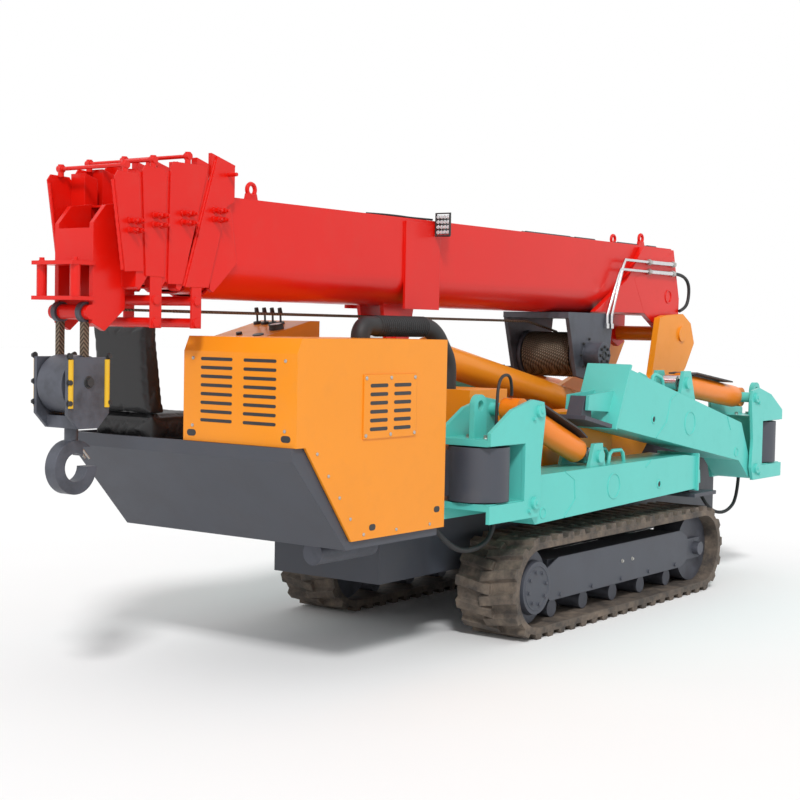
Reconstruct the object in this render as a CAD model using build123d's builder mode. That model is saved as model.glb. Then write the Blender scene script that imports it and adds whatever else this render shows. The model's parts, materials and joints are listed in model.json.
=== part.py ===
"""Compact outrigger crane on rubber tracks, with a telescopic boom.

Units are millimetres. +X points from the seat and boom head towards the boom pivot, -Y is the
engine hood's side, +Z is up, and the ground is at Z = 0 under the middle of the machine.
"""
from math import atan2, cos, degrees, hypot, radians, sin
import os

from build123d import *

os.makedirs("parts", exist_ok=True)

# Fits
flat_gap = 0.3
pin_gap = 0.1
running_gap = 6.0

# Tracks
track_length = 2450.0
track_height = 520.0
track_width = 350.0
track_middle_x = 755.0
track_offset_y = 580.0
belt_thickness = 34.0
lug_height = 26.0

# Main frame and outrigger posts
frame_rear_x = -1010.0
frame_front_x = 2760.0
frame_half_width = 330.0
frame_bottom_z = 330.0
frame_top_z = 640.0
frame_wall = 16.0
post_radius = 150.0
post_bottom_z = 738.0
post_top_z = 1000.0
rear_post_x = -645.0
front_post_x = 2640.0
post_y = 650.0
swing_pin_radius = 55.0

# Outrigger brackets and beams, measured outwards from the swing pin
bracket_half_width = 150.0
bracket_plate = 20.0
lift_pin_radius = 32.0
upper_pin = (310.0, 1165.0)
lower_pin = (280.0, 712.0)
beam_half_width = 120.0
beam_wall = 12.0
cylinder_radius = 68.0
cylinder_rod_radius = 34.0
foot_length = 300.0
foot_drop = 112.0

# Turret and boom
turret_x = 1460.0
slew_ring_radius = 360.0
boom_pin = (2308.0, 1559.0)
boom_pin_radius = 48.0
ear_inner_y = 238.0
ear_plate = 40.0
boom_half_width = 180.0
boom_height = 440.0
boom_top_z = 2115.0
boom_wall = 10.0
boom_head_x = -2010.0
boom_tail_x = 2330.0
section_step = 17.0
section_wall = 9.0
section_count = 4
section_reach = 115.0
foot_cheek = 34.0

# Lift cylinder
lift_foot = (1430.0, 1110.0)
lift_head = (-560.0, 1500.0)
lift_radius = 85.0
lift_rod_radius = 48.0

# Hood, tub and operator's place
tub_half_width = 668.0
tub_rear_x = -2081.0
tub_front_x = -1020.0
tub_rim_z = 1062.0
tub_bottom_z = 604.0
tub_wall = 12.0
hood_rear_x = -2064.0
hood_front_x = -983.0
hood_outer_y = -683.0
hood_inner_y = -45.0
hood_top_z = 1514.0
hood_skirt_z = 641.0
hood_wall = 12.0

# Hook
hook_pin = (-2660.0, 1604.0)


def plate(points, y_low, y_high, mode=Mode.ADD):
    """Plate with an outline in X and Z, standing between two Y values."""
    with BuildSketch(Plane.XZ.offset(-y_high)) as cut:
        with BuildLine():
            Polyline(*points, close=True)
        make_face()
    extrude(cut.sketch, amount=y_high - y_low, mode=mode)


def box_beam(points, y_low, y_high, wall):
    """Hollow box beam with an outline in X and Z, standing between two Y values."""
    plate(points, y_low, y_high)
    with BuildSketch(Plane.XZ.offset(wall - y_high)) as hollow:
        with BuildLine():
            Polyline(*points, close=True)
        make_face()
        offset(amount=-wall, kind=Kind.INTERSECTION)
    extrude(hollow.sketch, amount=y_high - y_low - 2 * wall, mode=Mode.SUBTRACT)


def pin(place, y_low, y_high, radius, mode=Mode.ADD):
    """Round bar along Y, centred on a place in X and Z."""
    with Locations(Location((place[0], (y_low + y_high) / 2, place[1]), (90, 0, 0))):
        Cylinder(radius, y_high - y_low, mode=mode)


def block(low, high, mode=Mode.ADD):
    """Box between two corners."""
    size = [b - a for a, b in zip(low, high)]
    with Locations(tuple((a + b) / 2 for a, b in zip(low, high))):
        Box(*size, mode=mode)


def tube(start, end, y, radius, mode=Mode.ADD):
    """Round bar between two places in X and Z, at one Y."""
    run = (end[0] - start[0], 0, end[1] - start[1])
    with BuildSketch(Plane(origin=(start[0], y, start[1]), z_dir=run)) as section:
        Circle(radius)
    extrude(section.sketch, amount=hypot(run[0], run[2]), mode=mode)


def along(start, end, distance):
    """Place at a distance from start towards end."""
    share = distance / hypot(end[0] - start[0], end[1] - start[1])
    return (start[0] + (end[0] - start[0]) * share, start[1] + (end[1] - start[1]) * share)


def finish(builder, name):
    """Label a finished piece and write it."""
    builder.part.label = name
    export_step(builder.part, f"parts/{name}.step")


# Tracks, track frames and wheels
loop_inset = belt_thickness + lug_height
wheel_radius = track_height / 2 - loop_inset - flat_gap
end_offset = track_length / 2 - track_height / 2
roller_radius = 48.0
roller_count = 5
carrier_half_width = 90.0
carrier_low_z = 162.0
carrier_high_z = 375.0
axle_radius = 40.0
for side, sign in (("right", -1), ("left", 1)):
    middle_y = sign * track_offset_y
    with BuildPart() as track:
        with BuildSketch(Plane.XZ.offset(-middle_y - track_width / 2)) as loop:
            with Locations((track_middle_x, track_height / 2)):
                SlotOverall(track_length, track_height)
                SlotOverall(track_length - 2 * loop_inset, track_height - 2 * loop_inset, mode=Mode.SUBTRACT)
        extrude(amount=track_width)
    finish(track, f"track_{side}")

    with BuildPart() as carrier:
        reach = end_offset - wheel_radius - running_gap
        block(
            (track_middle_x - reach, middle_y - carrier_half_width, carrier_low_z),
            (track_middle_x + reach, middle_y + carrier_half_width, carrier_high_z),
        )
        for end in (-1, 1):
            inner, outer = sorted((middle_y + end * carrier_half_width, middle_y + end * (carrier_half_width + 22)))
            block(
                (track_middle_x - end_offset - 60, inner, track_height / 2 - 62),
                (track_middle_x + end_offset + 60, outer, track_height / 2 + 62),
            )
            for wheel_end in (-1, 1):
                wheel_x = track_middle_x + wheel_end * end_offset
                pin((wheel_x, track_height / 2), inner, outer, axle_radius + pin_gap, Mode.SUBTRACT)
    finish(carrier, f"track_frame_{side}")

    with BuildPart() as wheels:
        for wheel_end in (-1, 1):
            place = (track_middle_x + wheel_end * end_offset, track_height / 2)
            pin(place, middle_y - carrier_half_width + 4, middle_y + carrier_half_width - 4, wheel_radius)
            pin(place, middle_y - carrier_half_width - 60, middle_y + carrier_half_width + 60, axle_radius)
        for index in range(roller_count):
            place = (track_middle_x - 670 + 335 * index, loop_inset + roller_radius + flat_gap)
            pin(place, middle_y - 70, middle_y + 70, roller_radius)
    finish(wheels, f"track_wheels_{side}")

# Main frame with its four outrigger posts
with BuildPart() as main_frame:
    inner_half = frame_half_width - frame_wall
    block((frame_rear_x, -frame_half_width, frame_bottom_z), (frame_front_x, frame_half_width, frame_top_z))
    block(
        (frame_rear_x + frame_wall, -inner_half, frame_bottom_z + frame_wall),
        (frame_front_x - frame_wall, inner_half, frame_top_z - frame_wall),
        Mode.SUBTRACT,
    )
    for sign in (-1, 1):
        for cross_x in (300.0, 1210.0):
            near, far = sorted((sign * (frame_half_width - 8), sign * (track_offset_y - carrier_half_width)))
            block((cross_x - 110, near, frame_bottom_z + 10), (cross_x + 110, far, carrier_high_z - 10))
    for post_x in (rear_post_x, front_post_x):
        block((post_x - 120, -post_y, post_bottom_z + 20), (post_x + 120, post_y, post_top_z - 20))
        block((post_x - 120, -frame_half_width, frame_top_z - 20), (post_x + 120, frame_half_width, post_top_z - 20))
        block(
            (post_x - 104, -inner_half, frame_top_z - frame_wall),
            (post_x + 104, inner_half, post_top_z - 40),
            Mode.SUBTRACT,
        )
        for sign in (-1, 1):
            with Locations((post_x, sign * post_y, (post_bottom_z + post_top_z) / 2)):
                Cylinder(post_radius, post_top_z - post_bottom_z)
                Cylinder(swing_pin_radius + pin_gap, post_top_z - post_bottom_z, mode=Mode.SUBTRACT)
finish(main_frame, "main_frame")

# Slew ring and turret
with BuildPart() as slew_ring:
    with Locations((turret_x, 0, frame_top_z + 40)):
        Cylinder(slew_ring_radius, 80)
        Cylinder(slew_ring_radius - 90, 80, mode=Mode.SUBTRACT)
finish(slew_ring, "slew_ring")

turret_floor_z = frame_top_z + 80
with BuildPart() as turret:
    with Locations((turret_x, 0, turret_floor_z + 25)):
        Cylinder(slew_ring_radius, 50)
    ear = (
        (turret_x - 190, turret_floor_z + 45),
        (turret_x + 290, turret_floor_z + 45),
        (2390, 1340),
        (2508, 1500),
        (2450, 1630),
        (2330, 1690),
        (2080, 1676),
        (2000, 1660),
        (1908, 1297),
        (1640, 1210),
        (turret_x - 190, 1130),
    )
    for low in (-ear_inner_y - ear_plate, ear_inner_y):
        plate(ear, low, low + ear_plate)
    block((turret_x + 150, -ear_inner_y - 5, turret_floor_z + 45), (turret_x + 190, ear_inner_y + 5, 1180))
    for low in (-140, 92):
        plate(
            (
                (turret_x - 150, turret_floor_z + 45),
                (turret_x + 160, turret_floor_z + 45),
                (turret_x + 160, lift_foot[1] + 60),
                (lift_foot[0] - 60, lift_foot[1] + 70),
                (lift_foot[0] - 90, lift_foot[1]),
            ),
            low,
            low + 48,
        )
    pin(lift_foot, -140, 140, 45)
    pin(boom_pin, -ear_inner_y - ear_plate - 12, ear_inner_y + ear_plate + 12, boom_pin_radius)
finish(turret, "turret")

# Lift cylinder
lift_length = hypot(lift_head[0] - lift_foot[0], lift_head[1] - lift_foot[1])
with BuildPart() as lift_barrel:
    pin(lift_foot, -86, 86, 82)
    tube(along(lift_foot, lift_head, 60), along(lift_foot, lift_head, 1640), 0, lift_radius)
    tube(along(lift_foot, lift_head, 1560), along(lift_foot, lift_head, 1660), 0, lift_radius + 8)
    tube(along(lift_foot, lift_head, 180), along(lift_foot, lift_head, 1660), 0, lift_rod_radius + pin_gap, Mode.SUBTRACT)
    pin(lift_foot, -86, 86, 45 + pin_gap, Mode.SUBTRACT)
finish(lift_barrel, "lift_barrel")

with BuildPart() as lift_rod:
    tube(along(lift_foot, lift_head, 250), lift_head, 0, lift_rod_radius)
    pin(lift_head, -48, 48, 74)
    pin(lift_head, -48, 48, 40, Mode.SUBTRACT)
finish(lift_rod, "lift_rod")


def boom_profile(shrink, x):
    """Boom section with a flat top and a rounded underside, as a sketch across X."""
    with BuildSketch(Plane.YZ.offset(x)) as section:
        with Locations((0, boom_top_z - boom_height / 2)):
            outline = Rectangle(2 * (boom_half_width - shrink), boom_height - 2 * shrink)
        fillet(outline.vertices().group_by(Axis.Y)[0], 150 - shrink * 0.8)
    return section.sketch


# Boom base
with BuildPart() as boom_base:
    extrude(boom_profile(0, boom_head_x), amount=boom_tail_x - boom_head_x)
    extrude(boom_profile(boom_wall, boom_head_x), amount=boom_tail_x - boom_head_x - 40, mode=Mode.SUBTRACT)
    cheek = (
        (1760, 1900),
        (2300, 2095),
        (2395, 1790),
        (2385, 1500),
        (2308, 1470),
        (2230, 1500),
        (2100, 1590),
        (1900, 1690),
    )
    collar = (
        (boom_head_x - 60, 2290),
        (boom_head_x + 90, 2250),
        (boom_head_x + 60, 2100),
        (boom_head_x + 110, 1830),
        (boom_head_x - 40, 1700),
        (boom_head_x - 60, 1712),
    )
    band = ((-650, 2100), (-350, 2100), (-350, 1660), (-650, 1660))
    for sign in (-1, 1):
        for outline, wide in ((cheek, foot_cheek), (collar, 16), (band, 12)):
            low, high = sorted((sign * (boom_half_width - 2), sign * (boom_half_width + wide)))
            plate(outline, low, high)
        low, high = sorted((sign * 62, sign * 84))
        plate(((-690, 1690), (-420, 1690), (-480, 1430), (-640, 1430)), low, high)
        low, high = sorted((sign * 60, sign * 100))
        pin(lift_head, low + (sign > 0) * 24, high - (sign < 0) * 24, 38)
    block((boom_head_x - 60, -boom_half_width - 12, boom_top_z + 2), (boom_head_x + 20, boom_half_width + 12, boom_top_z + 30))
    pin(boom_pin, -boom_half_width - foot_cheek, boom_half_width + foot_cheek, boom_pin_radius + pin_gap, Mode.SUBTRACT)
finish(boom_base, "boom_base")

# Telescopic sections, each inside the one before
for index in range(1, section_count + 1):
    shrink = index * section_step
    head = boom_head_x - section_reach * index
    tail = boom_tail_x - 420 - 120 * index
    with BuildPart() as section:
        extrude(boom_profile(shrink, head), amount=tail - head)
        extrude(boom_profile(shrink + section_wall, head), amount=tail - head, mode=Mode.SUBTRACT)
        pad_low = boom_top_z - shrink
        pad_high = pad_low + section_step - (boom_wall if index == 1 else section_wall) - flat_gap
        block((tail - 220, -60, pad_low - 1), (tail, 60, pad_high))
        collar = (
            (head - 30, 2290 - 28 * index),
            (head + 40, 2270 - 28 * index),
            (head + 40, 1760),
            (head - 10, 1700),
            (head - 30, 1710),
        )
        for sign in (-1, 1):
            low, high = sorted((sign * (boom_half_width - shrink - 2), sign * (boom_half_width + 14)))
            plate(collar, low, high)
        if index == section_count:
            nose = (
                (head - 10, 2050),
                (head - 120, 2035),
                (head - 185, 1960),
                (head - 185, 1560),
                (head - 120, 1530),
                (head - 10, 1620),
            )
            for sign in (-1, 1):
                low, high = sorted((sign * 90, sign * 112))
                plate(nose, low, high)
            block((head - 185, -92, 1800), (head - 10, 92, 1940))
            block((-2770, -120, 1790), (head - 180, 120, 1806))
            block((-2770, -120, 1650), (head - 180, 120, 1666))
            pin(hook_pin, -112, 112, 30)
    finish(section, f"boom_section_{index + 1}")

# Winch under the boom
winch_place = (1180.0, 1425.0)
with BuildPart() as winch_frame:
    for sign in (-1, 1):
        low, high = sorted((sign * 200, sign * 224))
        plate(((930, 1660), (1480, 1660), (1420, 1330), (1180, 1275), (1040, 1300)), low, high)
    block((930, -224, boom_top_z - boom_height - 35), (1480, 224, boom_top_z - boom_height))
    pin(winch_place, -200, 200, 30)
    pin(winch_place, -330, -220, 75)
finish(winch_frame, "winch_frame")

with BuildPart() as winch_drum:
    pin(winch_place, -192, 192, 105)
    for low in (-192, 172):
        pin(winch_place, low, low + 20, 140)
    pin(winch_place, -192, 192, 30 + pin_gap, Mode.SUBTRACT)
finish(winch_drum, "winch_drum")

# Hook block and hook
block_top = hook_pin[1] - 160
block_bottom = hook_pin[1] - 466
with BuildPart() as hook_block:
    for sign in (-1, 1):
        low, high = sorted((sign * 84, sign * 100))
        plate(
            (
                (hook_pin[0] - 110, block_top - 20),
                (hook_pin[0] + 110, block_top - 20),
                (hook_pin[0] + 110, block_bottom + 60),
                (hook_pin[0] + 50, block_bottom),
                (hook_pin[0] - 50, block_bottom),
                (hook_pin[0] - 110, block_bottom + 60),
            ),
            low,
            high,
        )
        low, high = sorted((sign * 60, sign * 84))
        plate(
            (
                (hook_pin[0] - 14, hook_pin[1]),
                (hook_pin[0] + 14, hook_pin[1]),
                (hook_pin[0] + 14, block_top - 40),
                (hook_pin[0] - 14, block_top - 40),
            ),
            low,
            high,
        )
        pin(hook_pin, low, high, 42)
        pin(hook_pin, low, high, 30 + pin_gap, Mode.SUBTRACT)
    pin((hook_pin[0], block_top - 130), -100, 100, 26)
    pin((hook_pin[0], block_top - 130), -72, 72, 118)
    block((hook_pin[0] - 50, -84, block_bottom), (hook_pin[0] + 50, 84, block_bottom + 50))
finish(hook_block, "hook_block")

with BuildPart() as hook:
    with Locations((hook_pin[0], 0, block_bottom - 40)):
        Cylinder(28, 79)
    with BuildSketch(Plane.XZ.offset(-30)):
        with Locations((hook_pin[0], block_bottom - 160)):
            Circle(110)
            Circle(58, mode=Mode.SUBTRACT)
        with Locations((hook_pin[0] + 92, block_bottom - 120)):
            Rectangle(110, 80, mode=Mode.SUBTRACT)
    extrude(amount=60)
finish(hook, "hook")

# Rear tub
with BuildPart() as rear_tub:
    hull = (
        (tub_rear_x, tub_rim_z),
        (tub_rear_x + 16, tub_rim_z - 60),
        (-1704, tub_bottom_z),
        (tub_front_x, tub_bottom_z),
        (tub_front_x, 988),
        (tub_front_x - 40, tub_rim_z),
    )
    plate(hull, -tub_half_width, tub_half_width)
    well = (
        (tub_rear_x + 20, tub_rim_z + 1),
        (tub_rear_x + 34, tub_rim_z - 60),
        (-1698, tub_bottom_z + tub_wall),
        (tub_front_x - tub_wall, tub_bottom_z + tub_wall),
        (tub_front_x - tub_wall, tub_rim_z + 1),
    )
    plate(well, -tub_half_width + tub_wall, tub_half_width - tub_wall, Mode.SUBTRACT)
    block((tub_rear_x + 60, 20, tub_rim_z - 42), (tub_front_x - tub_wall / 2, tub_half_width - 4, tub_rim_z - 30))
finish(rear_tub, "rear_tub")

# Engine hood over the tub's right half
with BuildPart() as engine_hood:
    side = (
        (hood_rear_x, tub_rim_z + flat_gap),
        (hood_rear_x, hood_top_z - 64),
        (hood_rear_x + 30, hood_top_z),
        (hood_front_x, hood_top_z),
        (hood_front_x, tub_rim_z + flat_gap),
    )
    plate(side, hood_outer_y, hood_inner_y)
    hollow = (
        (hood_rear_x + hood_wall, tub_rim_z - 1),
        (hood_rear_x + hood_wall, hood_top_z - 70),
        (hood_rear_x + 40, hood_top_z - hood_wall),
        (hood_front_x - hood_wall, hood_top_z - hood_wall),
        (hood_front_x - hood_wall, tub_rim_z - 1),
    )
    plate(hollow, hood_outer_y + hood_wall, hood_inner_y - hood_wall, Mode.SUBTRACT)
    skirt = (
        (-2020, tub_rim_z + 20),
        (-1686, hood_skirt_z),
        (hood_front_x, hood_skirt_z),
        (hood_front_x, tub_rim_z + 20),
    )
    plate(skirt, hood_outer_y, hood_outer_y + hood_wall)
finish(engine_hood, "engine_hood")

with BuildPart() as hood_side_panel:
    plate(
        ((-1620, 1360), (-1230, 1360), (-1230, 1080), (-1620, 1080)),
        hood_outer_y - 6,
        hood_outer_y,
    )
finish(hood_side_panel, "hood_side_panel")

with BuildPart() as engine_block:
    block((-1690, -590, tub_bottom_z + tub_wall), (-1120, -130, 1320))
finish(engine_block, "engine_block")

# Console, seat, tank, hose and exhaust
with BuildPart() as console:
    plate(
        ((-1540, tub_rim_z - 30), (-1540, 1440), (-1500, 1500), (-1120, 1590), (-1050, 1590), (-1050, tub_rim_z - 30)),
        hood_inner_y + 75,
        hood_inner_y + 390,
    )
    block((-1528, hood_inner_y + 87, tub_rim_z - 30), (-1062, hood_inner_y + 378, 1430), Mode.SUBTRACT)
finish(console, "console")

with BuildPart() as seat_cushion:
    block((-2030, 180, tub_rim_z - 30), (-1630, 560, 1150))
finish(seat_cushion, "seat_cushion")

with BuildPart() as seat_back:
    plate(((-2020, 1150 + flat_gap), (-1930, 1150 + flat_gap), (-1990, 1566), (-2060, 1566)), 190, 550)
finish(seat_back, "seat_back")

with BuildPart() as tanks:
    for sign in (-1, 1):
        near, far = sorted((sign * 120, sign * 480))
        block((-480, near, 985), (-130, far, 1260))
        block((-472, near + 8, 993), (-138, far - 8, 1252), Mode.SUBTRACT)
        block((-130, near, frame_top_z), (60, far, 1180))
        block((-122, near + 8, frame_top_z), (52, far - 8, 1172), Mode.SUBTRACT)
finish(tanks, "tanks")

hose_radius = 46.0
with BuildPart() as intake_hose:
    with BuildLine(Plane.XZ.offset(300)) as route:
        FilletPolyline(
            (-1150, hood_top_z), (-1150, 1572), (-560, 1572), (-420, 1400), (-420, 1260),
            radius=[50, 190, 150],
        )
    with BuildSketch(Plane(origin=route.line @ 0, z_dir=route.line % 0)):
        Circle(hose_radius)
    sweep(path=route.line)
finish(intake_hose, "intake_hose")

with BuildPart() as exhaust_pipe:
    with Locations(Location((-1330, -350, tub_bottom_z - 62), (0, 90, 0))):
        Cylinder(55, 420)
    block((-1360, -390, tub_bottom_z - 60), (-1300, -310, tub_bottom_z))
finish(exhaust_pipe, "exhaust_pipe")

# Deck covers between the outriggers
with BuildPart() as deck_covers:
    for sign in (-1, 1):
        near, far = sorted((sign * 300, sign * 470))
        block((260, near, frame_top_z), (1040, far, 1120))
        block((268, near + 8, frame_top_z), (1032, far - 8, 1112), Mode.SUBTRACT)
finish(deck_covers, "deck_covers")

with BuildPart() as boom_lamp:
    block((-400, -boom_half_width - 62, 2050), (-330, -boom_half_width - 12, 2140))
finish(boom_lamp, "boom_lamp")

with BuildPart() as boom_pipes:
    for high in (2010, 1950):
        tube((1940, high), (2260, high), -boom_half_width - foot_cheek - 14, 14)
finish(boom_pipes, "boom_pipes")


# Outriggers
def outrigger(name, post_x, post_side, reach, beam_line, ear_place, foot_place, foot_tilt):
    """Bracket, beam, cylinder, guard and foot of one outrigger, folded along the machine."""
    centre_y = post_side * post_y

    def at(point):
        return (post_x + reach * point[0], point[1])

    def side_plate(points, low, high, mode=Mode.ADD):
        placed = [at(point) for point in points]
        plate(placed, centre_y + low, centre_y + high, mode)

    def cross_pin(point, low, high, radius, mode=Mode.ADD):
        pin(at(point), centre_y + low, centre_y + high, radius, mode)

    inner = bracket_half_width - bracket_plate
    with BuildPart() as bracket:
        cheek = (
            (-130, 1012),
            (-130, 1075),
            (60, 1180),
            (250, 1225),
            (355, 1210),
            (372, 1150),
            (335, 900),
            (350, 720),
            (320, 640),
            (-130, 640),
            (-130, 728),
            (185, 728),
            (185, 1012),
        )
        for low in (-bracket_half_width, inner):
            side_plate(cheek, low, low + bracket_plate)
        side_plate(((-130, 1008), (-130, 1040), (200, 1040), (200, 1008)), -inner - 2, inner + 2)
        side_plate(((-130, 700), (-130, 732), (200, 732), (200, 700)), -inner - 2, inner + 2)
        side_plate(((186, 1030), (206, 1030), (206, 710), (186, 710)), -inner - 2, inner + 2)
        with Locations((post_x, centre_y, (post_bottom_z + post_top_z) / 2)):
            Cylinder(swing_pin_radius, post_top_z - post_bottom_z + 80)
        side_plate(((-70, 1035), (-70, 1196), (40, 1196), (40, 1035)), -15, 15)
        cross_pin((-15, 1196), -15, 15, 55)
        cross_pin((-15, 1196), -15, 15, 26, Mode.SUBTRACT)
        for point in (upper_pin, lower_pin):
            cross_pin(point, -bracket_half_width - 12, bracket_half_width + 12, lift_pin_radius)
    finish(bracket, f"outrigger_bracket_{name}")

    with BuildPart() as beam:
        box_beam([at(point) for point in beam_line], centre_y - beam_half_width, centre_y + beam_half_width, beam_wall)
        cross_pin(lower_pin, -beam_half_width, beam_half_width, 66)
        cross_pin(lower_pin, -beam_half_width, beam_half_width, lift_pin_radius + pin_gap, Mode.SUBTRACT)
        for low in (-98, 76):
            side_plate(
                (
                    (ear_place[0] - 120, ear_place[1] - 110),
                    (ear_place[0] - 50, ear_place[1] + 70),
                    (ear_place[0] + 40, ear_place[1] + 70),
                    (ear_place[0] + 90, ear_place[1] - 110),
                ),
                low,
                low + 22,
            )
        for low, high in ((-116, -98), (98, 116)):
            cross_pin(ear_place, low, high, 34)
        for low in (-70, 50):
            side_plate(
                (
                    (foot_place[0] - 270, foot_place[1] + 60),
                    (foot_place[0] + 30, foot_place[1] + 40),
                    (foot_place[0] + 40, foot_place[1] - 40),
                    (foot_place[0] - 270, foot_place[1] - 60),
                ),
                low,
                low + 20,
            )
        cross_pin(foot_place, -70, 70, 22)
    finish(beam, f"outrigger_beam_{name}")

    stroke_line = hypot(ear_place[0] - upper_pin[0], ear_place[1] - upper_pin[1])
    barrel_end = along(upper_pin, ear_place, stroke_line - 90)
    with BuildPart() as barrel:
        tube(at(along(upper_pin, ear_place, 30)), at(barrel_end), centre_y, cylinder_radius)
        cross_pin(upper_pin, -52, 52, 60)
        bore_start = at(along(upper_pin, ear_place, 110))
        tube(bore_start, at(barrel_end), centre_y, cylinder_rod_radius + pin_gap, Mode.SUBTRACT)
        cross_pin(upper_pin, -70, 70, lift_pin_radius + pin_gap, Mode.SUBTRACT)
    finish(barrel, f"outrigger_barrel_{name}")

    with BuildPart() as rod:
        tube(at(along(upper_pin, ear_place, 130)), at(ear_place), centre_y, cylinder_rod_radius)
        cross_pin(ear_place, -44, 44, 44)
        cross_pin(ear_place, -44, 44, 24, Mode.SUBTRACT)
    finish(rod, f"outrigger_rod_{name}")

    with BuildPart() as foot:
        tilt = radians(foot_tilt)

        def tipped(across, up):
            return (
                foot_place[0] + across * cos(tilt) - up * sin(tilt),
                foot_place[1] + across * sin(tilt) + up * cos(tilt),
            )

        base = ((-150, -foot_drop), (150, -foot_drop), (150, -foot_drop + 22), (-150, -foot_drop + 22))
        side_plate([tipped(*point) for point in base], -125, 125)
        web = ((-60, -foot_drop + 20), (60, -foot_drop + 20), (34, 30), (-34, 30))
        side_plate([tipped(*point) for point in web], -45, 45)
        cross_pin(foot_place, -45, 45, 22 + pin_gap, Mode.SUBTRACT)
    finish(foot, f"outrigger_foot_{name}")


rear_beam = ((300, 640), (340, 596), (2150, 640), (2185, 640), (2185, 835), (2040, 850), (363, 842), (310, 780))
front_beam = ((250, 690), (330, 660), (479, 772), (2130, 1048), (1985, 1365), (454, 1010), (330, 800))
for side, post_side in (("right", -1), ("left", 1)):
    outrigger(f"rear_{side}", rear_post_x, post_side, 1, rear_beam, (1025, 898), (2320, 700), 0)
    outrigger(f"front_{side}", front_post_x, post_side, -1, front_beam, (1208, 1272), (2300, 1185), 11)
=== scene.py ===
"""Looks of the compact crawler crane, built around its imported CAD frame.

Every piece is in metres in the frame's own axes: +X from the seat and boom head towards the boom
pivot, -Y the engine hood's side, +Z up.
"""
import json
import math

import bmesh
import bpy
from bpy.props import FloatProperty, FloatVectorProperty, PointerProperty
from mathutils import Matrix, Vector


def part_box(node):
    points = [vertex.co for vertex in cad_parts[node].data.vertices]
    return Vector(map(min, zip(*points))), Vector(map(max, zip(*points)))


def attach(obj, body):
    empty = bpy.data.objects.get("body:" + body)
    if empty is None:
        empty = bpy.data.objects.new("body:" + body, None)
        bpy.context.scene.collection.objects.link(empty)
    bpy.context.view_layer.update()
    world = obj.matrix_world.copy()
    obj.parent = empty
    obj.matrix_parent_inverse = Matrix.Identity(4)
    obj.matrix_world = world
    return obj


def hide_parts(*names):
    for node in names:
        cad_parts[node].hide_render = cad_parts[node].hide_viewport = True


bl_info = {
    "name": "Crawler Crane Looks",
    "version": (1, 0, 0),
    "blender": (4, 5, 0),
    "location": "View3D > Sidebar > Crane",
    "description": "Dresses the packed crawler crane with paint, rope, hoses and fittings",
    "category": "Object",
}

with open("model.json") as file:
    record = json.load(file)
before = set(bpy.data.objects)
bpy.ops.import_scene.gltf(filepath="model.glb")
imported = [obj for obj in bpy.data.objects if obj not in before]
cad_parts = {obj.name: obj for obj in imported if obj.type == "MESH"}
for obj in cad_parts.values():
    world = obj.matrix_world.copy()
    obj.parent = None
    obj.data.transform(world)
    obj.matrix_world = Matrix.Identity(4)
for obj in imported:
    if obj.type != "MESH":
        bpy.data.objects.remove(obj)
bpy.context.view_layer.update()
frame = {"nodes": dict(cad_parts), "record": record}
nodes = frame["nodes"]
finishes = {}
both_sides = (-1, 1)


class Signal:
    """A shader socket that takes part in Python expressions."""

    def __init__(self, tree, socket):
        self.tree = tree
        self.socket = socket

    def _math(self, operation, first, second):
        node = self.tree.nodes.new("ShaderNodeMath")
        node.operation = operation
        plug(self.tree, node.inputs[0], first)
        plug(self.tree, node.inputs[1], second)
        return Signal(self.tree, node.outputs[0])

    def __add__(self, other):
        return self._math("ADD", self, other)

    def __radd__(self, other):
        return self._math("ADD", other, self)

    def __rsub__(self, other):
        return self._math("SUBTRACT", other, self)

    def __mul__(self, other):
        return self._math("MULTIPLY", self, other)


def plug(tree, place, value):
    """Link a signal to a socket, or set the socket's own value."""
    if isinstance(value, Signal):
        tree.links.new(value.socket, place)
    else:
        place.default_value = value


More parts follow.
